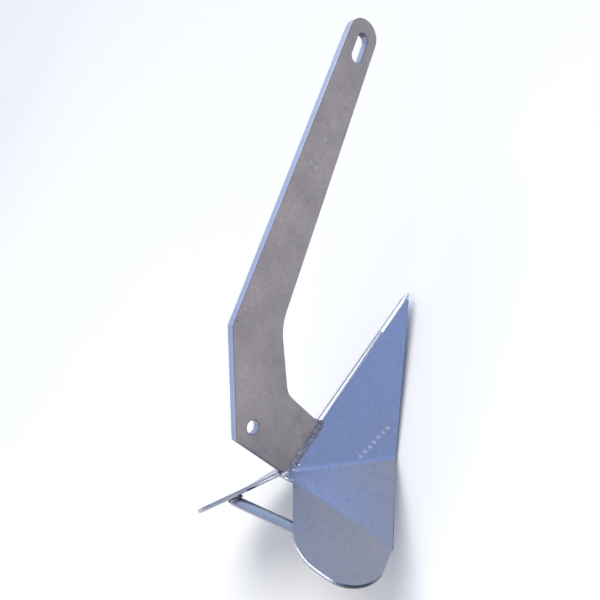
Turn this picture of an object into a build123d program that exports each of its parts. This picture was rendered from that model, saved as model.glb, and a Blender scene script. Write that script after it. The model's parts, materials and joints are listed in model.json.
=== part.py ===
from build123d import *
import os
from math import cos, radians, sin, tan

# Plough anchor with a fixed shank, in millimetres.
# +X runs forward, from the rear lobes to the toe and on to the shackle end.
# +Z is up, and the anchor stands on its toe and on the long edges of its blades.
# The XZ plane is the plane of symmetry, and the origin is under the middle of the whole length.

os.makedirs("parts", exist_ok=True)

# ---- shank: one profile-cut plate -------------------------------------------------------------
SHANK_T = 12.7  # plate thickness
SHANK_EDGE_R = 1.2  # worn and galvanised edge
HEAD_END_X = 352.6  # front end of the rounded head
HEAD_R = 24.3  # nearly a full round
ARM_TOP_Z = (279.2, 285.9)  # top edge, at the elbow and at the head
ARM_LOW_Z = (209.7, 236.5)  # lower edge, at the inner elbow and at the head
ELBOW_X, ELBOW_R = -115.4, 6.0  # outer elbow
INNER_ELBOW_X, INNER_ELBOW_R = -85.1, 75.0
HEEL = (-242.1, 210.3)  # outer heel corner
HEEL_R = 3.0
THROAT = (-161.7, 161.0)  # where the lower edge turns down into the foot
THROAT_R = 25.0
FOOT_REAR_X, FOOT_FRONT_X = -257.1, -178.1  # foot, on the crest of the ridge

SLOT_X, SLOT_Z, SLOT_TILT = 310.4, 258.5, 2.2  # shackle slot
SLOT_LEN, SLOT_R = 44.0, 9.0
TRIP_X, TRIP_Z, TRIP_R = -218.7, 194.3, 9.0  # trip-line hole

# ---- fluke: one plate folded along a ridge and two creases a side ------------------------------
PLATE_T = 6.0
RIDGE_X, RIDGE_Z = -258.4, 125.69  # rear end of the ridge, taken as a sharp fold
RIDGE_FALL = 18.5  # degrees, down towards the toe
RIDGE_LEN = 318.0
RIDGE_R = 8.0  # outer bend radius
HALF_ANGLE = 38.9  # each blade from the plane of symmetry
WING_FOLD, LOBE_FOLD = 29.7, 7.9  # degrees, each one flatter than the last
BLADE_CORNER = (109.2, 117.4)  # from the rear of the ridge: along it, and out along the blade
TOE_HALF = 13.4  # blade width left at the toe
WING_SPAN, WING_SECTOR = 178.1, 49.5  # length of the second crease, and its angle from the first
LOBE_START = 24.8  # along the second crease
LOBE_SLOPE = 51.5  # degrees, inner edge of the lobe from the crease
LOBE_DEPTH, LOBE_SIDE = 89.0, 189.0
LOBE_INNER_R, LOBE_OUTER_R = 70.0, 45.0
SEAM_START, SEAM_HALF = 252.0, 5.0  # from here to the toe the ridge is welded and ground, not folded

# ---- brace bar, ballast and weld sizes ----------------------------------------------------------
BAR_X, BAR_Z, BAR_R, BAR_HALF = -315.0, 116.2, 7.5, 80.0
TIP_S, TIP_DEPTH, TIP_R = 327.2, 8.6, 3.6  # rounded point: along the ridge, under the fold, radius
NOSE_START, NOSE_FLAT = RIDGE_LEN - 3.0, 2.4  # behind the blade ends; half width of its flat top
KEEL_X, KEEL_R = 14.0, 6.0  # lowest point of the toe, which the anchor stands on
SOLE_Z, SOLE_T, SOLE_TILT = 5.7, 4.0, 3.2  # lower face at the bulkhead, thickness, rise in degrees
BOX_REAR_X, BOX_FRONT_X, BULKHEAD_T = -118.0, -26.0, 4.0
SHANK_LEG, SMALL_LEG = 5.0, 4.0  # weld leg lengths
WELD_BELLY = (1.0, 0.6)  # how far the face of a shank weld swells out and up
REAR_LUMP_R = 5.0  # where the shank welds meet behind the heel

Y_DIR = Vector(0, 1, 0)
RIDGE_REAR = Vector(RIDGE_X, 0, RIDGE_Z)
RIDGE_DIR = Vector(cos(radians(RIDGE_FALL)), 0, -sin(radians(RIDGE_FALL)))
RIDGE_UP = Vector(sin(radians(RIDGE_FALL)), 0, cos(radians(RIDGE_FALL)))
SIN_A, COS_A = sin(radians(HALF_ANGLE)), cos(radians(HALF_ANGLE))
CREST = RIDGE_R / SIN_A - RIDGE_R  # how far the rounded crest lies under the sharp fold
TIP_X = RIDGE_X + TIP_S * RIDGE_DIR.X - TIP_DEPTH * RIDGE_UP.X
TIP_Z = RIDGE_Z + TIP_S * RIDGE_DIR.Z - TIP_DEPTH * RIDGE_UP.Z
EXTRA = 4.0  # overlap across a crease, mitred away


def crest_point(x):
    """The top of the rounded ridge at a given x, in the plane of symmetry."""
    fall = radians(RIDGE_FALL)
    return (x, RIDGE_Z - (x - RIDGE_X) * tan(fall) - CREST / cos(fall))


FOOT_REAR, FOOT_FRONT = crest_point(FOOT_REAR_X), crest_point(FOOT_FRONT_X)


def turned(vector, about, degrees):
    """A direction turned about another one."""
    return vector.rotate(Axis((0, 0, 0), about), degrees)


def crease_plane(direction, normal_a, normal_b):
    """The mitre plane of a crease, facing the rear side."""
    return Plane(RIDGE_REAR, x_dir=direction, z_dir=(normal_a + normal_b).cross(direction))


# The three flat panels of the left half, each as the plane of its upper face.
blade_normal = Y_DIR * COS_A + RIDGE_UP * SIN_A
blade_plane = Plane(RIDGE_REAR, x_dir=RIDGE_DIR, z_dir=blade_normal)
crease_1 = (blade_plane.from_local_coords(Vector(*BLADE_CORNER, 0)) - RIDGE_REAR).normalized()
wing_normal = turned(blade_normal, crease_1, WING_FOLD)
wing_plane = Plane(RIDGE_REAR, x_dir=crease_1, z_dir=wing_normal)
crease_2 = turned(crease_1, wing_normal, WING_SECTOR)
lobe_normal = turned(wing_normal, crease_2, LOBE_FOLD)
lobe_plane = Plane(RIDGE_REAR, x_dir=crease_2, z_dir=lobe_normal)
mitre_1 = crease_plane(crease_1, blade_normal, wing_normal)
mitre_2 = crease_plane(crease_2, wing_normal, lobe_normal)
ridge_section = Plane(RIDGE_REAR, x_dir=Y_DIR, z_dir=RIDGE_DIR)

# ---- fluke plate -----------------------------------------------------------------------------------
inner_r = RIDGE_R - PLATE_T
leg = 150.0
with BuildPart() as blade:
    with BuildSketch(ridge_section):
        with BuildLine():
            crest = (0, -CREST)
            tangent = (RIDGE_R * COS_A, RIDGE_R * SIN_A - RIDGE_R / SIN_A)
            mid = (RIDGE_R * sin(radians(25)), RIDGE_R * cos(radians(25)) - RIDGE_R / SIN_A)
            far = (leg * SIN_A, -leg * COS_A)
            far_in = (far[0] - PLATE_T * COS_A, far[1] - PLATE_T * SIN_A)
            inner = (inner_r * COS_A, inner_r * SIN_A - RIDGE_R / SIN_A)
            inner_mid = (inner_r * sin(radians(25)), inner_r * cos(radians(25)) - RIDGE_R / SIN_A)
            inner_top = (0, inner_r - RIDGE_R / SIN_A)
            ThreePointArc(crest, mid, tangent)
            Polyline(tangent, far, far_in, inner)
            ThreePointArc(inner, inner_mid, inner_top)
            Line(inner_top, crest)
        make_face()
    extrude(amount=RIDGE_LEN)
    with BuildSketch(blade_plane):
        with BuildLine():
            along, out = BLADE_CORNER
            run = (along - RIDGE_LEN, out - TOE_HALF)
            beyond = (along + run[0] * 0.1, out + run[1] * 0.1)
            Polyline((-10, -5), (RIDGE_LEN, -5), (RIDGE_LEN, TOE_HALF), beyond, (-10, 20), close=True)
        make_face()
    extrude(amount=leg, both=True, mode=Mode.INTERSECT)
    split(bisect_by=mitre_1, keep=Keep.BOTTOM)

corner_dist = Vector(*BLADE_CORNER, 0).length
wing_tip = (WING_SPAN * cos(radians(WING_SECTOR)), WING_SPAN * sin(radians(WING_SECTOR)))
with BuildPart() as wing:
    with BuildSketch(wing_plane):
        with BuildLine():
            edge = (Vector(*wing_tip, 0) - Vector(corner_dist, 0, 0)).normalized()
            start = Vector(corner_dist, 0, 0) - edge * EXTRA
            end = Vector(*wing_tip, 0) + edge * EXTRA
            back = Vector(-sin(radians(WING_SECTOR)), cos(radians(WING_SECTOR)), 0) * EXTRA
            Polyline((0, -EXTRA), start, end, back, close=True)
        make_face()
    extrude(amount=-PLATE_T)
    split(bisect_by=mitre_1, keep=Keep.TOP)
    split(bisect_by=mitre_2, keep=Keep.BOTTOM)

with BuildPart() as lobe:
    with BuildSketch(lobe_plane) as lobe_face:
        with BuildLine():
            slope = tan(radians(LOBE_SLOPE))
            side = (LOBE_SIDE - WING_SPAN) / 40.0
            Polyline(
                (LOBE_START - EXTRA / slope, -EXTRA),
                (LOBE_START + LOBE_DEPTH / slope, LOBE_DEPTH),
                (LOBE_SIDE, LOBE_DEPTH),
                (LOBE_SIDE, 40.0),
                (WING_SPAN - side * EXTRA, -EXTRA),
                close=True,
            )
        make_face()
        for near_side, radius in ((False, LOBE_INNER_R), (True, LOBE_OUTER_R)):
            far = lobe_face.vertices().filter_by(lambda v: v.Y > LOBE_DEPTH - 1)
            fillet([v for v in far if (v.X > LOBE_SIDE - 1) == near_side], radius)
    extrude(amount=-PLATE_T)
    split(bisect_by=mitre_2, keep=Keep.TOP)

with BuildPart() as fluke_plate:
    add(blade.part)
    add(wing.part)
    add(lobe.part)
    mirror(about=Plane.XZ)
    # the crest is open along the toe, where the seam weld fills it
    with BuildSketch(ridge_section.offset(SEAM_START)):
        with Locations((0, -12)):
            Rectangle(2 * SEAM_HALF, 40)
    extrude(amount=RIDGE_LEN, mode=Mode.SUBTRACT)

# ---- shank ---------------------------------------------------------------------------------------
with BuildPart() as shank:
    with BuildSketch(Plane.XZ) as profile:
        with BuildLine():
            Polyline(
                FOOT_REAR,
                FOOT_FRONT,
                THROAT,
                (INNER_ELBOW_X, ARM_LOW_Z[0]),
                (HEAD_END_X, ARM_LOW_Z[1]),
                (HEAD_END_X, ARM_TOP_Z[1]),
                (ELBOW_X, ARM_TOP_Z[0]),
                HEEL,
                close=True,
            )
        make_face()
        corners = profile.vertices().sort_by(Axis.X)
        fillet(corners[-2:], HEAD_R)
        for x, radius in (
            (INNER_ELBOW_X, INNER_ELBOW_R),
            (ELBOW_X, ELBOW_R),
            (THROAT[0], THROAT_R),
            (HEEL[0], HEEL_R),
        ):
            fillet([v for v in profile.vertices() if abs(v.X - x) < 0.01], radius)
        with Locations(Location((SLOT_X, SLOT_Z), SLOT_TILT)):
            SlotOverall(SLOT_LEN, 2 * SLOT_R, mode=Mode.SUBTRACT)
        with Locations((TRIP_X, TRIP_Z)):
            Circle(TRIP_R, mode=Mode.SUBTRACT)
    extrude(amount=SHANK_T / 2, both=True)
    rims = shank.faces().filter_by(Axis.Y).edges()
    foot = rims.filter_by(lambda e: abs(abs(e.tangent_at(0.5).dot(RIDGE_DIR)) - 1) < 1e-3)
    fillet([e for e in rims if e not in foot], SHANK_EDGE_R)
    add(fluke_plate.part, mode=Mode.SUBTRACT)

# ---- brace bar -----------------------------------------------------------------------------------
with BuildPart() as brace_bar:
    with BuildSketch(Plane.XZ):
        with Locations((BAR_X, BAR_Z)):
            Circle(BAR_R)
    extrude(amount=BAR_HALF, both=True)
    add(fluke_plate.part, mode=Mode.SUBTRACT)

# ---- toe: ground seam and nose, with a closed ballast box behind it ---------------------------------
def outer_face(s):
    """Where the outer and inner edges of the left blade lie in a ridge section near the toe."""
    edge = TOE_HALF + (RIDGE_LEN - s) * (BLADE_CORNER[1] - TOE_HALF) / (RIDGE_LEN - BLADE_CORNER[0])
    outer = (edge * SIN_A, -edge * COS_A)
    return outer, (outer[0] - PLATE_T * COS_A, outer[1] - PLATE_T * SIN_A)


nose_outer, nose_inner = outer_face(NOSE_START)
with BuildPart() as toe_nose:
    with BuildSketch(ridge_section.offset(SEAM_START)):
        with BuildLine():
            seam_r = RIDGE_R - 0.7
            centre = -RIDGE_R / SIN_A
            shoulder = centre + (seam_r**2 - SEAM_HALF**2) ** 0.5
            ThreePointArc((-SEAM_HALF, shoulder), (0, centre + seam_r), (SEAM_HALF, shoulder))
            Polyline((SEAM_HALF, shoulder), (SEAM_HALF, -16), (-SEAM_HALF, -16), (-SEAM_HALF, shoulder))
        make_face()
    extrude(amount=NOSE_START + 1 - SEAM_START)
    # the nose narrows from the ends of the two blades to a rounded point
    tip_half, tip_rise = TIP_R * 0.4, TIP_R * 0.9
    point = ((tip_half, tip_rise - TIP_DEPTH), (TIP_R, -TIP_DEPTH), (tip_half, -tip_rise - TIP_DEPTH))
    for s, points in (
        (NOSE_START, ((NOSE_FLAT, -CREST - 0.4), nose_outer, nose_inner)),
        (TIP_S, point),
    ):
        with BuildSketch(ridge_section.offset(s)):
            with BuildLine():
                Polyline(*points, *[(-y, h) for y, h in reversed(points)], close=True)
            make_face()
    loft(ruled=True)
    with Locations(RIDGE_REAR + RIDGE_DIR * TIP_S - RIDGE_UP * TIP_DEPTH):
        Sphere(TIP_R)
    # a solid keel under the crest, from the ballast box to the nose
    for x, top, half, low in (
        (BOX_FRONT_X, 36.0, 22.0, 10.0),
        (KEEL_X, 24.0, 10.0, KEEL_R * 0.4),
        (TIP_X, TIP_Z, TIP_R * 0.9, TIP_Z - TIP_R * 0.9),
    ):
        with BuildSketch(Plane.YZ.offset(x)):
            with BuildLine():
                side = ((half, low + KEEL_R * 0.6), (half * 0.35, low))
                Polyline((0, top), *side, *[(-y, z) for y, z in reversed(side)], close=True)
            make_face()
    loft(ruled=True)
    with Locations((KEEL_X, 0, KEEL_R)):
        Sphere(KEEL_R)
    add(fluke_plate.part, mode=Mode.SUBTRACT)

# everything under the inner faces of the two blades
with BuildPart() as hollow:
    with BuildSketch(ridge_section):
        with BuildLine():
            apex, foot_half = -PLATE_T / SIN_A, leg * SIN_A
            bottom = apex - leg * COS_A
            Polyline((0, apex), (foot_half, bottom), (-foot_half, bottom), close=True)
        make_face()
    extrude(amount=RIDGE_LEN)
    add(fluke_plate.part, mode=Mode.SUBTRACT)

sole_dir = (cos(radians(SOLE_TILT)), 0, sin(radians(SOLE_TILT)))
sole_plane = Plane((BOX_REAR_X, 0, SOLE_Z), x_dir=sole_dir, z_dir=(-sole_dir[2], 0, sole_dir[0]))
box_len = BOX_FRONT_X - BOX_REAR_X
with BuildPart() as toe_sole:
    with BuildSketch(sole_plane):
        Rectangle(box_len, 200, align=(Align.MIN, Align.CENTER))
    extrude(amount=SOLE_T)
    add(hollow.part, mode=Mode.INTERSECT)
    add(toe_nose.part, mode=Mode.SUBTRACT)

with BuildPart() as toe_bulkhead:
    with BuildSketch(Plane.YZ.offset(BOX_REAR_X)):
        Rectangle(200, 200)
    extrude(amount=BULKHEAD_T)
    split(bisect_by=sole_plane.offset(SOLE_T), keep=Keep.TOP)
    add(hollow.part, mode=Mode.INTERSECT)

with BuildPart() as toe_ballast:
    with BuildSketch(Plane.YZ.offset(BOX_REAR_X + BULKHEAD_T)):
        Rectangle(200, 200)
    extrude(amount=box_len)
    split(bisect_by=sole_plane.offset(SOLE_T), keep=Keep.TOP)
    add(hollow.part, mode=Mode.INTERSECT)
    add(toe_nose.part, mode=Mode.SUBTRACT)

# ---- welds ----------------------------------------------------------------------------------------------
def ridge_s(point):
    """How far along the ridge a point of the XZ plane lies."""
    return (Vector(point[0], 0, point[1]) - RIDGE_REAR).dot(RIDGE_DIR)


half_t = SHANK_T / 2
with BuildPart() as shank_weld_left:
    with BuildSketch(ridge_section.offset(ridge_s(FOOT_REAR))):
        with BuildLine():
            root = -half_t * COS_A / SIN_A
            top = root + SHANK_LEG
            toe = (half_t + SHANK_LEG * SIN_A, root - SHANK_LEG * COS_A)
            belly = ((half_t + toe[0]) / 2 + WELD_BELLY[0], (top + toe[1]) / 2 + WELD_BELLY[1])
            ThreePointArc((half_t, top), belly, toe)
            Polyline(toe, (half_t, root), (half_t, top))
        make_face()
    extrude(amount=ridge_s(FOOT_FRONT) - ridge_s(FOOT_REAR))
    add(fluke_plate.part, mode=Mode.SUBTRACT)
    add(shank.part, mode=Mode.SUBTRACT)
with BuildPart() as shank_weld_right:
    add(mirror(shank_weld_left.part, about=Plane.XZ))

front_up = (Vector(THROAT[0], THROAT[1]) - Vector(*FOOT_FRONT)).normalized() * SHANK_LEG
fall = Vector(RIDGE_DIR.X, RIDGE_DIR.Z)
rise = Vector(RIDGE_UP.X, RIDGE_UP.Z)
with BuildPart() as shank_weld_front:
    with BuildSketch(Plane.XZ):
        with BuildLine():
            corner = Vector(*FOOT_FRONT)
            Polyline(
                corner + front_up,
                corner + fall * SHANK_LEG,
                corner + fall * SHANK_LEG - rise * 5.8,
                corner - rise * 5.8,
                close=True,
            )
        make_face()
    extrude(amount=half_t + 2.0, both=True)
    add(fluke_plate.part, mode=Mode.SUBTRACT)
    add(shank.part, mode=Mode.SUBTRACT)
    add(shank_weld_left.part, mode=Mode.SUBTRACT)
    add(shank_weld_right.part, mode=Mode.SUBTRACT)

with BuildPart() as rear_lump:
    with Locations(Location((FOOT_REAR[0] - 0.5, 0, FOOT_REAR[1] - 1.5), (90, 0, 0))):
        Cylinder(REAR_LUMP_R, 2 * half_t + 8)
    fillet(rear_lump.edges().filter_by(GeomType.CIRCLE), 2.5)
    for other in (fluke_plate, shank, shank_weld_left, shank_weld_right):
        add(other.part, mode=Mode.SUBTRACT)
with BuildPart() as shank_weld_rear:
    add(rear_lump.solids().sort_by(SortBy.VOLUME)[-1])

# a lump at each end of the bar, down its side and along the inner edge of the lobe
with BuildPart() as brace_weld_left:
    with Locations((BAR_X, BAR_HALF - 6, BAR_Z)):
        Sphere(BAR_R + SMALL_LEG)
    split(bisect_by=lobe_plane.offset(-0.8), keep=Keep.BOTTOM)
    split(bisect_by=lobe_plane.offset(-PLATE_T - SMALL_LEG), keep=Keep.TOP)
    add(fluke_plate.part, mode=Mode.SUBTRACT)
    add(brace_bar.part, mode=Mode.SUBTRACT)
with BuildPart() as brace_weld_right:
    add(mirror(brace_weld_left.part, about=Plane.XZ))


def on_inner_face(x, z):
    """The point of the left blade's inner face at a given x and z."""
    height = (Vector(x, 0, z) - RIDGE_REAR).dot(RIDGE_UP)
    return Vector(x, (-PLATE_T - SIN_A * height) / COS_A, z)


def bead(start, end, radius):
    """A round rod from one point to another."""
    along = end - start
    return Plane(start, z_dir=along) * Cylinder(
        radius, along.length, align=(Align.CENTER, Align.CENTER, Align.MIN)
    )


sole_front_z = SOLE_Z + box_len * tan(radians(SOLE_TILT))
sole_rear_corner = on_inner_face(BOX_REAR_X, SOLE_Z)
sole_front_corner = on_inner_face(BOX_FRONT_X, sole_front_z)
box_parts = (fluke_plate, toe_sole, toe_bulkhead, toe_ballast, toe_nose)
sole_bead = bead(sole_rear_corner, sole_front_corner, SMALL_LEG * 0.6)
with BuildPart() as sole_weld_left:
    add(sole_bead)
    for other in box_parts:
        add(other.part, mode=Mode.SUBTRACT)
with BuildPart() as sole_weld_right:
    add(mirror(sole_weld_left.part, about=Plane.XZ))

box_apex_z = RIDGE_Z - (BOX_REAR_X - RIDGE_X) * tan(radians(RIDGE_FALL)) - PLATE_T / SIN_A / RIDGE_DIR.X
bulkhead_bead = bead(sole_rear_corner, Vector(BOX_REAR_X, 0, box_apex_z), SMALL_LEG * 0.7)
with BuildPart() as bulkhead_weld:
    add(bulkhead_bead)
    mirror(about=Plane.XZ)
    for other in (*box_parts, sole_weld_left, sole_weld_right):
        add(other.part, mode=Mode.SUBTRACT)

for name, piece in {
    "shank": shank,
    "fluke_plate": fluke_plate,
    "brace_bar": brace_bar,
    "toe_nose": toe_nose,
    "toe_sole": toe_sole,
    "toe_bulkhead": toe_bulkhead,
    "toe_ballast": toe_ballast,
    "shank_weld_left": shank_weld_left,
    "shank_weld_right": shank_weld_right,
    "shank_weld_front": shank_weld_front,
    "shank_weld_rear": shank_weld_rear,
    "brace_weld_left": brace_weld_left,
    "brace_weld_right": brace_weld_right,
    "sole_weld_left": sole_weld_left,
    "sole_weld_right": sole_weld_right,
    "bulkhead_weld": bulkhead_weld,
}.items():
    piece.part.label = name
    export_step(piece.part, f"parts/{name}.step")
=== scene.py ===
# Looks of the plough anchor: hot-dip galvanised plate with soft bends, lumpy welds and punch marks.
# Everything is in metres, in the CAD frame: +X towards the shackle, +Z up, +Y left.
import json
from math import cos, pi, radians, sin

import bmesh
import bpy
from mathutils import Matrix, Vector, noise


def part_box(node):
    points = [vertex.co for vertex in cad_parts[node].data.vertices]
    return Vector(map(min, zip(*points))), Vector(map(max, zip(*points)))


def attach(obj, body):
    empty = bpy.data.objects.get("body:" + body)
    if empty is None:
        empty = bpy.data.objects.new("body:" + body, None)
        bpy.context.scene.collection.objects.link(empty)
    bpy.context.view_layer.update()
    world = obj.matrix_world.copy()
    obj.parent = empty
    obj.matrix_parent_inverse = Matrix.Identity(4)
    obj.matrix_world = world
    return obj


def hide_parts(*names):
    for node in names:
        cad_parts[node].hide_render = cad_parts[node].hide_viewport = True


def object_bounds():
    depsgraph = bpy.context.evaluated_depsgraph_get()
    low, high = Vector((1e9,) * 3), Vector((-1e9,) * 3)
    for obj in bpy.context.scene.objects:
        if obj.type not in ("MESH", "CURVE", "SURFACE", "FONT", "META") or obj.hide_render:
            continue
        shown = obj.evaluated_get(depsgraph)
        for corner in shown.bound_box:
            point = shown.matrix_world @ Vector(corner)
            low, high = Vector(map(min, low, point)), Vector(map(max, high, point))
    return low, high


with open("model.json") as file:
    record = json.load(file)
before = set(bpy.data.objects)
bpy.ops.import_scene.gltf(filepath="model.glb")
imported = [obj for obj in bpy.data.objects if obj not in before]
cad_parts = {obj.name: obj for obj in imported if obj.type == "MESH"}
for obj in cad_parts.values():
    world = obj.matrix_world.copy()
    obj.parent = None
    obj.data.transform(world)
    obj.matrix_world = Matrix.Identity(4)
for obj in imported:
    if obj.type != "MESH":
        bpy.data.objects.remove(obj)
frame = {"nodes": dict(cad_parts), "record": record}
CAD_LOW, CAD_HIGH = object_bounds()
NODES = frame["nodes"]
MM = 0.001

# ---- sizes of the detail ------------------------------------------------------------------------
EDGE_ROUND = 0.9 * MM  # rounding that the zinc gives a sharp edge of an unfolded plate
EDGE_SHEEN_AND_WEAR = {"shank": 1.0, "fluke_plate": 0.6}  # how strongly the edges are lightened: wear and a painted highlight
SHARP_ANGLE, FLAT_ANGLE = 40, 0.6  # degrees between faces at an edge to round, and within one flat face
SAME_PLACE = 1e-6  # points nearer than this are one
CRUMB_SHARE = 0.05  # islands smaller than this share of the largest are crumbs of the remesh
BEND_WIDTHS = 8.0 * MM, 3.0 * MM  # each side of the crease before the wing, and of the one behind it
BEND_START = 16.0 * MM  # the creases are sharp nearer than this to the rear of the ridge
EDGE_FROM, EDGE_OVER = 0.95, 0.10  # how far a face turns from the flat plate, as a cosine, to count as an edge that is lightened or shaded
SHADED_SIDE = 0.45  # an edge whose normal turns further than this outwards gets painted shade, not the painted highlight
SHADED_BELOW = {"shank": 0.35, "fluke_plate": -0.3}  # and one whose normal rises less than this
SHADED_OVER = 0.2  # how much more of either makes it fully so
PANEL_SHARE = 0.3  # a face this large beside the largest one is flat plate, and not worn
DOT_R, DOT_DEPTH, DOT_SHEEN_AND_WEAR = 2.9 * MM, 0.6 * MM, 0.35  # punch marks, partly lightened: wear and a painted highlight
WELD_VOXEL = 0.45 * MM
LUMP_SIZE, GRAIN_SIZE = 3.2 * MM, 1.4 * MM
RIPPLE_PITCH, RIPPLE_HEIGHT = 3.2 * MM, 0.45 * MM
RIPPLE_CURVE, RIPPLE_WANDER = 2.2 * MM, 9 * MM

RIDGE_FALL = radians(18.5)
RIDGE_DIR = Vector((cos(RIDGE_FALL), 0, -sin(RIDGE_FALL)))
RIDGE_REAR = Vector((-258.4, 0, 125.69)) * MM
PLATE_T = 6.0 * MM


# ---- materials -----------------------------------------------------------------------------------
class Nodes:
    """A short way to write a node tree."""

    def __init__(self, name):
        self.material = bpy.data.materials.new(name)
        self.material.use_nodes = True
        self.tree = self.material.node_tree
        self.tree.nodes.clear()
        self.out = self.tree.nodes.new("ShaderNodeOutputMaterial")
        self.where = self.add("TexCoord").outputs["Object"]

    def add(self, kind, inputs=None, **settings):
        node = self.tree.nodes.new("ShaderNode" + kind)
        for key, value in settings.items():
            setattr(node, key, value)
        for key, value in (inputs or {}).items():
            if isinstance(value, bpy.types.NodeSocket):
                self.tree.links.new(value, node.inputs[key])
            else:
                node.inputs[key].default_value = value
        return node

    def noise(self, scale, detail=3.0, rough=0.55, vector=None):
        inputs = {"Vector": vector or self.where, "Scale": scale, "Detail": detail, "Roughness": rough}
        return self.add("TexNoise", inputs).outputs["Fac"]

    def remap(self, value, low, high, to_low=0.0, to_high=1.0):
        inputs = {"Value": value, "From Min": low, "From Max": high, "To Min": to_low, "To Max": to_high}
        return self.add("MapRange", inputs).outputs["Result"]

    def math(self, operation, a, b):
        return self.add("Math", {0: a, 1: b}, operation=operation).outputs[0]

    def mix(self, factor, a, b, blend="MIX"):
        node = self.add("Mix", data_type="RGBA", blend_type=blend)
        for socket, value in ((0, factor), (6, a), (7, b)):
            if isinstance(value, bpy.types.NodeSocket):
                self.tree.links.new(value, node.inputs[socket])
            else:
                node.inputs[socket].default_value = value
        return node.outputs[2]

    def surface(self, color, roughness, height, bump, metallic=1.0, distance=0.5 * MM):
        normal = self.add("Bump", {"Height": height, "Strength": bump, "Distance": distance})
        shader = self.add(
            "BsdfPrincipled",
            {
                "Base Color": color,
                "Roughness": roughness,
                "Metallic": metallic,
                "Normal": normal.outputs["Normal"],
            },
        )
        self.tree.links.new(shader.outputs["BSDF"], self.out.inputs["Surface"])
        return self.material


def rgb(r, g, b):
    return (r, g, b, 1.0)


# Edges, bends and lump tops are lightened to these colours: wear and a painted highlight, and on the shank's
# pale blue edges also a painted reflection of the cool sky.
SHEEN_AND_WEAR_COLOR = rgb(0.80, 0.83, 0.90)
SHANK_EDGE_SHEEN_AND_WEAR = rgb(0.50, 0.57, 0.76)
# Painted shade on edges that face outwards or down, and how much of it.
PAINTED_SHADE_COLOR = rgb(0.08, 0.085, 0.12)
PAINTED_SHADE_SHARE = 0.85
LOW_DARK_COLOR = rgb(0.12, 0.135, 0.16)
DARK_FROM_HEIGHT, DARK_FULL_HEIGHT = 0.26, 0.14  # heights between which the shank gets darker towards the bottom, in smudges


def zinc(
    name,
    base,
    stain,
    rough,
    sheen_and_wear=SHEEN_AND_WEAR_COLOR,
    mottle=0.10,
    blotch=0.5,
    speck=0.4,
    bump=0.25,
    polish=0.12,
    low_dark=0.0,
):
    """Hot-dip zinc: a fine mottle, cloudy patches, dark specks, a rough skin, and darker smudges towards the
    bottom.

    An attribute is 1 where edges and bends are lightened, as wear and a painted highlight, and -1 where
    edges get painted shade."""
    n = Nodes(name)
    wear_and_light = n.add("Attribute", attribute_name="wear_and_light").outputs["Fac"]
    grain = n.remap(n.noise(190.0, 3.0, 0.6), 0.3, 0.7)
    clouds = n.noise(14.0, 5.0, 0.6)
    patches = n.remap(clouds, 0.38, 0.68)
    fine = n.noise(900.0, 2.0)
    grit = n.noise(260.0, 3.0)
    color = n.mix(n.math("MULTIPLY", patches, blotch), base, stain)
    lighter = n.remap(grain, 0.0, 1.0, 1.0 - mottle, 1.0 + mottle)
    grey = n.add("CombineColor", {0: lighter, 1: lighter, 2: lighter}).outputs[0]
    color = n.mix(1.0, color, grey, "MULTIPLY")
    dots = n.remap(n.noise(75.0, 4.0, 0.7), 0.66, 0.76, 0.0, speck)
    color = n.mix(dots, color, rgb(0.07, 0.065, 0.075))
    # darker smudges towards the bottom
    if low_dark:
        height = n.add("SeparateXYZ", {0: n.where}).outputs["Z"]
        low = n.remap(height, DARK_FROM_HEIGHT, DARK_FULL_HEIGHT)
        smudges = n.remap(n.noise(38.0, 3.0, 0.6), 0.50, 0.72, 0.45, 1.0)
        color = n.mix(n.math("MULTIPLY", n.math("MULTIPLY", low, smudges), low_dark), color, LOW_DARK_COLOR)
    # painted shade on edges that face outwards or down
    color = n.mix(n.remap(wear_and_light, 0.0, -1.0, 0.0, PAINTED_SHADE_SHARE), color, PAINTED_SHADE_COLOR)
    # painted highlight and wear on edges, bends and lump tops
    lit_and_rubbed = n.math("MULTIPLY", wear_and_light, n.remap(clouds, 0.3, 0.7, 1.0, 0.7))
    color = n.mix(lit_and_rubbed, color, sheen_and_wear)
    uneven = n.math(
        "ADD",
        n.remap(grain, 0.0, 1.0, -0.012, 0.012),
        n.remap(clouds, 0.3, 0.7, -0.05, 0.05),
    )
    roughness = n.math("ADD", n.remap(lit_and_rubbed, 0.0, 1.0, rough, rough - polish), uneven)
    height = n.math("ADD", n.math("MULTIPLY", fine, 0.35), grit)
    return n.surface(color, roughness, height, bump)


MATERIALS = {
    "shank_zinc": zinc(
        "shank_zinc",
        rgb(0.355, 0.322, 0.328),
        rgb(0.27, 0.25, 0.27),
        0.42,
        # pale blue edges: wear and a painted reflection of the cool sky
        sheen_and_wear=SHANK_EDGE_SHEEN_AND_WEAR,
        mottle=0.08,
        blotch=0.9,
        speck=0.7,
        bump=0.3,
        polish=0.0,
        low_dark=0.34,
    ),
    "fluke_zinc": zinc(
        "fluke_zinc",
        # the blue tint of this base is partly a painted reflection of the cool sky
        rgb(0.335, 0.355, 0.43),
        rgb(0.31, 0.33, 0.40),
        0.29,
        mottle=0.06,
        blotch=0.6,
        speck=0.0,
        bump=0.04,
    ),
    "bar_zinc": zinc(
        "bar_zinc",
        rgb(0.34, 0.37, 0.48),
        rgb(0.28, 0.30, 0.39),
        0.30,
        mottle=0.05,
        speck=0.3,
        bump=0.2,
    ),
    "weld_zinc": zinc(
        "weld_zinc",
        rgb(0.20, 0.20, 0.28),
        rgb(0.12, 0.12, 0.18),
        0.42,
        mottle=0.06,
        blotch=0.9,
        speck=0.5,
        bump=0.3,
    ),
    "ballast": zinc(
        "ballast",
        rgb(0.10, 0.10, 0.105),
        rgb(0.06, 0.06, 0.065),
        0.62,
        mottle=0.05,
        blotch=0.8,
        speck=0.5,
        bump=0.6,
    ),
}
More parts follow.
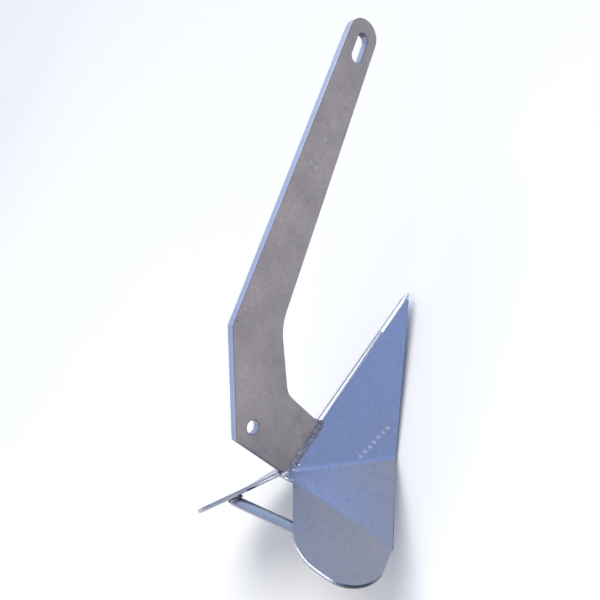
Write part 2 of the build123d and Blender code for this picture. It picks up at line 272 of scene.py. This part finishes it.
SLOT_OF = {part["node"]: part["material_slot"] for part in frame["record"]["subparts"]}
for name, node in NODES.items():
    node.data.materials.clear()
    node.data.materials.append(MATERIALS[SLOT_OF[name]])


# ---- floor, light and camera ----------------------------------------------------------------------
AIM = Vector((0, 0, (CAD_LOW.z + CAD_HIGH.z) / 2))
FLOOR_GAP = 0.0001
DOME, HORIZON, PANEL = (0.50, 0.51, 0.53), (0.77, 0.72, 0.65), (0.03, 0.24, 0.74)
PANEL_TOWARDS = Vector((0.86, -0.27, 0.43))
CAMERA_PLACE = Vector((-0.2666, -0.7834, 0.7592))
CAMERA_LOOK, CAMERA_UPWARDS = Vector((0.2269, 0.7897, -0.5700)), Vector((0.9076, 0.0408, 0.4179))


def floor():
    n = Nodes("floor")
    color = n.mix(n.noise(0.8, 2.0), rgb(0.80, 0.80, 0.80), rgb(0.84, 0.84, 0.84))
    material = n.surface(color, 0.9, n.noise(60.0), 0.05, metallic=0.0)
    bm = bmesh.new()
    bmesh.ops.create_grid(bm, x_segments=1, y_segments=1, size=30.0)
    mesh = bpy.data.meshes.new("floor")
    bm.to_mesh(mesh)
    bm.free()
    mesh.materials.append(material)
    plane = bpy.data.objects.new("floor", mesh)
    plane.location.z = CAD_LOW.z - FLOOR_GAP
    bpy.context.scene.collection.objects.link(plane)


def light(kind, name, place, energy, color, **settings):
    data = bpy.data.lights.new(name, kind)
    data.energy = energy
    data.color = color
    for key, value in settings.items():
        setattr(data, key, value)
    lamp = bpy.data.objects.new(name, data)
    lamp.location = place
    lamp.rotation_mode = "QUATERNION"
    lamp.rotation_quaternion = (AIM - Vector(place)).to_track_quat("-Z", "Y")
    bpy.context.scene.collection.objects.link(lamp)


def sky():
    """A soft neutral dome, greyer at the horizon, with a broad cool panel high on the front right."""
    world = bpy.data.worlds.new("sky")
    world.use_nodes = True
    tree = world.node_tree
    tree.nodes.clear()

    def add(kind, **settings):
        node = tree.nodes.new("ShaderNode" + kind)
        for key, value in settings.items():
            setattr(node, key, value)
        return node

    def ramp(value, stops):
        node = add("ValToRGB")
        tree.links.new(value, node.inputs["Fac"])
        while len(node.color_ramp.elements) < len(stops):
            node.color_ramp.elements.new(0.5)
        for stop, (position, color) in zip(node.color_ramp.elements, stops):
            stop.position, stop.color = position, rgb(*color)
        return node.outputs["Color"]

    where = add("TexCoord").outputs["Generated"]
    split = add("SeparateXYZ")
    tree.links.new(where, split.inputs[0])
    height = split.outputs["Z"]
    facing = add("VectorMath", operation="DOT_PRODUCT")
    facing.inputs[1].default_value = PANEL_TOWARDS
    tree.links.new(where, facing.inputs[0])
    dome = ramp(height, ((0.0, HORIZON), (0.16, HORIZON), (0.27, DOME), (1.0, DOME)))
    beyond = ramp(facing.outputs["Value"], ((0.50, (0, 0, 0)), (0.85, (1, 1, 1))))
    above = ramp(height, ((0.17, (0, 0, 0)), (0.26, PANEL), (1.0, PANEL)))
    panel = add("Mix", data_type="RGBA", blend_type="MULTIPLY")
    panel.inputs[0].default_value = 1.0
    tree.links.new(beyond, panel.inputs[6])
    tree.links.new(above, panel.inputs[7])
    total = add("Mix", data_type="RGBA", blend_type="ADD")
    total.inputs[0].default_value = 1.0
    tree.links.new(dome, total.inputs[6])
    tree.links.new(panel.outputs[2], total.inputs[7])
    background = add("Background")
    out = add("OutputWorld")
    tree.links.new(total.outputs[2], background.inputs["Color"])
    tree.links.new(background.outputs[0], out.inputs[0])
    bpy.context.scene.world = world


def camera():
    look = CAMERA_LOOK.normalized()
    right = look.cross(CAMERA_UPWARDS).normalized()
    up = right.cross(look)
    data = bpy.data.cameras.new("camera")
    data.lens, data.sensor_width = 45.0, 36.0
    data.clip_end = 200.0
    view = bpy.data.objects.new("camera", data)
    turn = Matrix((right, up, -look)).transposed()
    view.matrix_world = Matrix.Translation(CAMERA_PLACE) @ turn.to_4x4()
    bpy.context.scene.collection.objects.link(view)
    bpy.context.scene.camera = view


bpy.context.scene.view_settings.view_transform = "Standard"
floor()
sky()
camera()
light("SUN", "key", (0.5, 0.1, 0.86), 2.0, (1.0, 0.93, 0.82), angle=radians(50))
light("AREA", "top", (-1.5, -0.5, 2.2), 20.0, (1.0, 0.98, 0.96), shape="SQUARE", size=2.2)
light("AREA", "rim", (0.0, 2.4, 1.6), 9.0, (0.30, 0.56, 1.0), shape="RECTANGLE", size=4.0, size_y=1.2)


# ---- pieces ----------------------------------------------------------------------------------------
def new_piece(name, mesh, *nodes):
    """A finished piece that stands for one or more CAD nodes and takes the first one's finish."""
    slot = SLOT_OF[nodes[0]]
    mesh.materials.clear()
    mesh.materials.append(MATERIALS[slot])
    mesh.shade_smooth()
    piece = bpy.data.objects.new(name, mesh)
    bpy.context.scene.collection.objects.link(piece)
    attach(piece, "root")
    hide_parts(*nodes)
    return piece


def applied(obj):
    """The mesh of an object with its modifiers applied. The object itself goes."""
    bpy.context.view_layer.update()
    depsgraph = bpy.context.evaluated_depsgraph_get()
    mesh = bpy.data.meshes.new_from_object(obj.evaluated_get(depsgraph))
    bpy.data.objects.remove(obj)
    return mesh


def loose(mesh, name="work"):
    obj = bpy.data.objects.new(name, mesh)
    bpy.context.scene.collection.objects.link(obj)
    return obj


def flat_faces(node):
    """A CAD node as a bmesh with its triangles joined into flat faces."""
    bm = bmesh.new()
    bm.from_mesh(NODES[node].data)
    bmesh.ops.remove_doubles(bm, verts=bm.verts, dist=SAME_PLACE)
    bmesh.ops.dissolve_limit(bm, angle_limit=radians(FLAT_ANGLE), verts=bm.verts, edges=bm.edges)
    return bm


def round_edges(bm, edges, offset, segments):
    bmesh.ops.bevel(
        bm,
        geom=edges,
        offset=offset,
        offset_type="OFFSET",
        segments=segments,
        profile=0.5,
        affect="EDGES",
        clamp_overlap=True,
        loop_slide=True,
    )


def to_mesh(bm, name):
    mesh = bpy.data.meshes.new(name)
    bm.normal_update()
    bm.to_mesh(mesh)
    bm.free()
    return mesh


def mark_light_and_wear(mesh, dots, shaded_below, most):
    """Edges, bends and punch marks are lightened, as wear and a painted highlight, and large flat faces are
    not.

    Edges that face outwards, or whose normal rises less than the given limit, get painted shade instead."""
    least = PANEL_SHARE * max(p.area for p in mesh.polygons)
    flats = [p.normal.copy() for p in mesh.polygons if p.area > least]
    wear_and_light = mesh.attributes.new("wear_and_light", "FLOAT", "FACE")
    for face, value in zip(mesh.polygons, wear_and_light.data):
        nearest = max((abs(face.normal.dot(flat)) for flat in flats), default=0.0)
        edge = min(1.0, max(0.0, (EDGE_FROM - nearest) / EDGE_OVER))
        outwards = face.normal.y if face.center.y > 0 else -face.normal.y
        facing_light = min(face.normal.z - shaded_below, SHADED_SIDE - outwards) / SHADED_OVER
        # above nought the face is lightened, as wear and a painted highlight; below nought it gets painted
        # shade
        value.value = edge * min(most, max(-1.0, facing_light))
        if face.area < DOT_R**2 and any((face.center - point).length < DOT_R for point, _ in dots):
            value.value = DOT_SHEEN_AND_WEAR


def dotted(mesh, places):
    """The mesh with a shallow round punch mark at each (point, outward normal)."""
    ball = (DOT_R**2 + DOT_DEPTH**2) / (2 * DOT_DEPTH)
    bm = bmesh.new()
    for point, normal in places:
        centre = Matrix.Translation(point + normal * (ball - DOT_DEPTH))
        bmesh.ops.create_uvsphere(bm, u_segments=32, v_segments=24, radius=ball, matrix=centre)
    cutter = loose(to_mesh(bm, "cutter"))
    work = loose(mesh)
    cut = work.modifiers.new("dots", "BOOLEAN")
    cut.operation, cut.solver, cut.object = "DIFFERENCE", "EXACT", cutter
    result = applied(work)
    bpy.data.objects.remove(cutter)
    return result


def plate(name, node, bends=(), dots=()):
    """A plate, with its sharp edges rounded if it isn't folded.

    bends are the soft creases of a folded plate: directions from the ridge's rear, and widths. Its edges
    stay as they are, because rounding them makes the mesh cross itself."""
    bm = flat_faces(node)
    for bend, width in bends:
        along = [e for e in bm.edges if on_crease(e, bend)]
        for edge in along:
            near, far = sorted(edge.verts, key=lambda v: (v.co - RIDGE_REAR).length)
            reach = (BEND_START - (near.co - RIDGE_REAR).length) / edge.calc_length()
            if 0 < reach < 1:
                bmesh.utils.edge_split(edge, near, reach)
        along = [e for e in bm.edges if on_crease(e, bend) and min_reach(e) > BEND_START * 0.98]
        round_edges(bm, along, width, 6)
    if not bends:
        sharp = [e for e in bm.edges if e.calc_face_angle(0.0) > radians(SHARP_ANGLE)]
        round_edges(bm, sharp, EDGE_ROUND, 2)
    mesh = to_mesh(bm, name)
    if dots:
        mesh = dotted(mesh, dots)
    mark_light_and_wear(mesh, dots, SHADED_BELOW.get(node, 0.0), EDGE_SHEEN_AND_WEAR.get(node, 0.5))
    piece = new_piece(name, mesh, node)
    weighted = piece.modifiers.new("normals", "WEIGHTED_NORMAL")
    weighted.weight = 90
    return piece


def min_reach(edge):
    return min((v.co - RIDGE_REAR).length for v in edge.verts)


def on_crease(edge, bend):
    """Whether an edge runs along a crease, on either face of the plate."""
    run = edge.verts[1].co - edge.verts[0].co
    if run.length < 20 * MM or abs(run.normalized().dot(bend)) < 0.9995:
        return False
    middle = (edge.verts[0].co + edge.verts[1].co) / 2 - RIDGE_REAR
    return (middle - bend * middle.dot(bend)).length < PLATE_T * 1.3


def drop_crumbs(mesh):
    """Deletes the tiny islands that a voxel remesh leaves at thin tips."""
    bm = bmesh.new()
    bm.from_mesh(mesh)
    islands = []
    for start in bm.verts:
        if start.tag:
            continue
        start.tag = True
        island = [start]
        for vert in island:
            fresh = [e.other_vert(vert) for e in vert.link_edges if not e.other_vert(vert).tag]
            for other in fresh:
                other.tag = True
            island += fresh
        islands.append(island)
    least = CRUMB_SHARE * max(len(island) for island in islands)
    crumbs = [vert for island in islands if len(island) < least for vert in island]
    bmesh.ops.delete(bm, geom=crumbs, context="VERTS")
    bm.to_mesh(mesh)
    bm.free()


def skin(
    name,
    nodes,
    voxel,
    lump,
    ripple=0.0,
    along=None,
    blobs=(),
    smooth=0,
    sheen_and_wear=0.0,
    sheen_and_wear_all_over=0.0,
):
    """CAD nodes remeshed finely, then made uneven: ripples along a bead, and lumps all over.

    blobs are balls joined on first. The last argument says how much it is lightened all over, and the one
    before it how much more its tops are: wear and painted highlights."""
    bm = bmesh.new()
    for node in nodes:
        bm.from_mesh(NODES[node].data)
    for point, radius in blobs:
        bmesh.ops.create_icosphere(bm, subdivisions=3, radius=radius, matrix=Matrix.Translation(point))
    work = loose(to_mesh(bm, name))
    remesh = work.modifiers.new("remesh", "REMESH")
    remesh.mode, remesh.voxel_size = "VOXEL", voxel
    if smooth:
        relax = work.modifiers.new("relax", "SMOOTH")
        relax.factor, relax.iterations = 0.5, smooth
    mesh = applied(work)
    drop_crumbs(mesh)
    mesh.name = name
    middle = sum((v.co for v in mesh.vertices), Vector()) / len(mesh.vertices)
    shifts, wear_and_light = [], []
    for v in mesh.vertices:
        rough = noise.noise(v.co / LUMP_SIZE) + 0.5 * noise.noise(v.co / GRAIN_SIZE)
        shift = lump * rough
        if ripple:
            away = v.co - middle
            run = away.dot(along)
            side = (away - along * run).length
            phase = 2 * pi * run / RIPPLE_PITCH + (side / RIPPLE_CURVE) ** 2
            phase += 1.4 * noise.noise(v.co / RIPPLE_WANDER)
            shift += ripple * (abs(sin(phase / 2)) - 0.5)
        shifts.append(v.normal * shift)
        # tops of lumps lightened: wear and a painted highlight
        wear_and_light.append(min(1.0, max(0.0, sheen_and_wear_all_over + sheen_and_wear * (shift / max(lump, ripple) - 0.1))))
    for v, shift in zip(mesh.vertices, shifts):
        v.co += shift
    layer = mesh.attributes.new("wear_and_light", "FLOAT", "POINT")
    for value, amount in zip(layer.data, wear_and_light):
        value.value = amount
    return new_piece(name, mesh, *nodes)


def creases():
    """The two creases on each side, as directions and widths, and the normal of the right blade."""
    bm = flat_faces("fluke_plate")
    least = PANEL_SHARE * max(f.calc_area() for f in bm.faces)
    tops = [f for f in bm.faces if f.normal.z > 0.3 and f.normal.y > 0 and f.calc_area() > least]
    blade, wing, lobe = (f.normal.copy() for f in sorted(tops, key=lambda f: f.normal.x))
    bm.free()
    left = list(zip((blade.cross(wing).normalized(), wing.cross(lobe).normalized()), BEND_WIDTHS))
    right = [(Vector((v.x, -v.y, v.z)), width) for v, width in left]
    return left + right, Vector((blade.x, -blade.y, blade.z))


def row(start, end, count, normal):
    return [(start.lerp(end, i / (count - 1)), normal) for i in range(count)]


def on_blade(along, down, normal):
    """A point of the right blade's upper face, measured along the ridge and down the blade."""
    return RIDGE_REAR + RIDGE_DIR * along + RIDGE_DIR.cross(normal).normalized() * down


def rear_drips():
    """Drips of zinc where the foot's welds meet behind the heel, as points and radii.

    In drips they are offsets from the ridge's rear and radii, in millimetres. Three of them lie wholly
    inside the fluke plate, where they aren't seen."""
    drips = (
        (7.4, -5.8, -9.4, 2.6),
        (9.4, -9.4, -14.4, 2.5),
        (1.6, -10.0, -13.4, 2.2),
        (5.2, -14.0, -19.4, 2.3),
        (18.0, -10.9, -20.0, 2.1),
        (6.0, 7.4, -10.6, 2.5),
        (12.4, 10.0, -16.2, 2.2),
        (2.8, 11.6, -15.8, 2.0),
        (-3.6, 1.2, -6.4, 2.2),
    )
    return [(RIDGE_REAR + Vector((x, y, z)) * MM, radius * MM) for x, y, z, radius in drips]


bends, blade_normal = creases()
row_start = on_blade(82 * MM, 78 * MM, blade_normal)
row_end = on_blade(137 * MM, 87 * MM, blade_normal)
blade_row = row(row_start, row_end, 7, blade_normal)
outward = Vector((0, -1, 0))
shank_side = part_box("shank")[1].y * outward
mark_places = (167, 255), (126, 261), (125, 251)
shank_marks = [(shank_side + Vector((x, 0, z)) * MM, outward) for x, z in mark_places]
plate("shank_skin", "shank", dots=shank_marks)
plate("fluke_skin", "fluke_plate", bends=bends, dots=blade_row)
plate("sole_skin", "toe_sole")
plate("bulkhead_skin", "toe_bulkhead")
# The nose, the drips and the weld lumps' tops are lightened: wear and painted highlights.
skin("nose_skin", ["toe_nose"], 0.8 * MM, 0.12 * MM, smooth=4, sheen_and_wear_all_over=0.8)
skin("bar_skin", ["brace_bar"], 1.0 * MM, 0.10 * MM, smooth=2, sheen_and_wear_all_over=0.15)
foot_welds = ["shank_weld_right", "shank_weld_left", "shank_weld_front"]
skin("foot_weld", foot_welds, WELD_VOXEL, 0.45 * MM, RIPPLE_HEIGHT, RIDGE_DIR, smooth=3, sheen_and_wear=0.5)
skin(
    "rear_drips",
    ["shank_weld_rear"],
    WELD_VOXEL,
    0.25 * MM,
    blobs=rear_drips(),
    smooth=3,
    sheen_and_wear=0.3,
    sheen_and_wear_all_over=0.75,
)
for side in ("left", "right"):
    low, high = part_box("sole_weld_" + side)
    along = Vector((high.x - low.x, (high.y - low.y) * (-1 if side == "left" else 1), high.z - low.z))
    along.normalize()
    sole_weld = ["sole_weld_" + side]
    skin("sole_bead_" + side, sole_weld, WELD_VOXEL, 0.25 * MM, RIPPLE_HEIGHT, along, sheen_and_wear=0.4)
    skin("bar_weld_" + side, ["brace_weld_" + side], WELD_VOXEL, 0.35 * MM, sheen_and_wear=0.4, sheen_and_wear_all_over=0.35, smooth=5)
skin("bulkhead_bead", ["bulkhead_weld"], WELD_VOXEL, 0.3 * MM, RIPPLE_HEIGHT, Vector((0, 1, 0)), sheen_and_wear=0.4)
